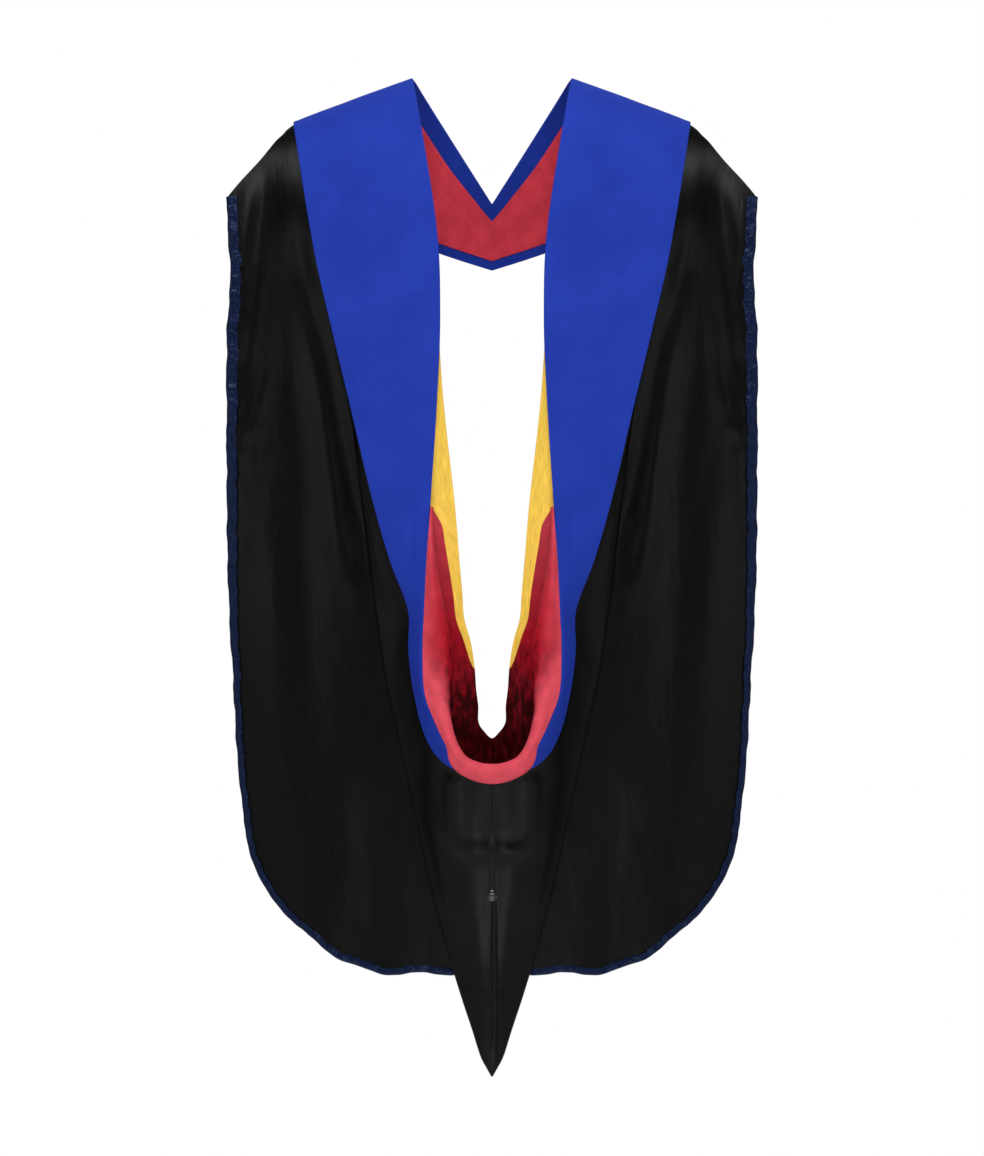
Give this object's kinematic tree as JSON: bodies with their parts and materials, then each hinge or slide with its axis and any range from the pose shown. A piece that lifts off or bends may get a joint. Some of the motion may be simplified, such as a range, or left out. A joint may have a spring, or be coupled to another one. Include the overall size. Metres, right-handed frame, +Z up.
{
  "type": "academic hood",
  "caption": "Doctor's hood worn down the back: blue velvet facing, black satin bag with pointed tail, turned-out red and gold lining, bound side panels.",
  "frame": {"origin": "midway between the two neck corners, at the height of the velvet's upper face on the shoulder fold, where the hood sits on the wearer's shoulders", "axes": "+Z up, +Y towards the wearer's front, +X towards the right of the picture, which shows the wearer's back from -Y"},
  "size_m": [0.5582, 0.2841, 1.0513],
  "materials": {
    "velvet_blue": "short-pile velvet",
    "neck_lining_red": "matt brushed cloth",
    "satin_black": "satin",
    "binding_navy": "satin ribbon",
    "satin_gold": "satin",
    "satin_red": "satin",
    "cord_black": "twisted cord",
    "button_black": "gloss"
  },
  "bodies": {
    "root": {"velvet_facing_left": "velvet_blue", "velvet_facing_right": "velvet_blue", "neck_lining": "neck_lining_red", "shell_body": "satin_black", "side_panel_left": "satin_black", "side_panel_right": "satin_black", "binding_left": "binding_navy", "binding_right": "binding_navy", "lining_gold_left": "satin_gold", "lining_gold_right": "satin_gold", "lining_cowl": "satin_red", "cord_loop": "cord_black", "cowl_button": "button_black"}
  },
  "joints": []
}
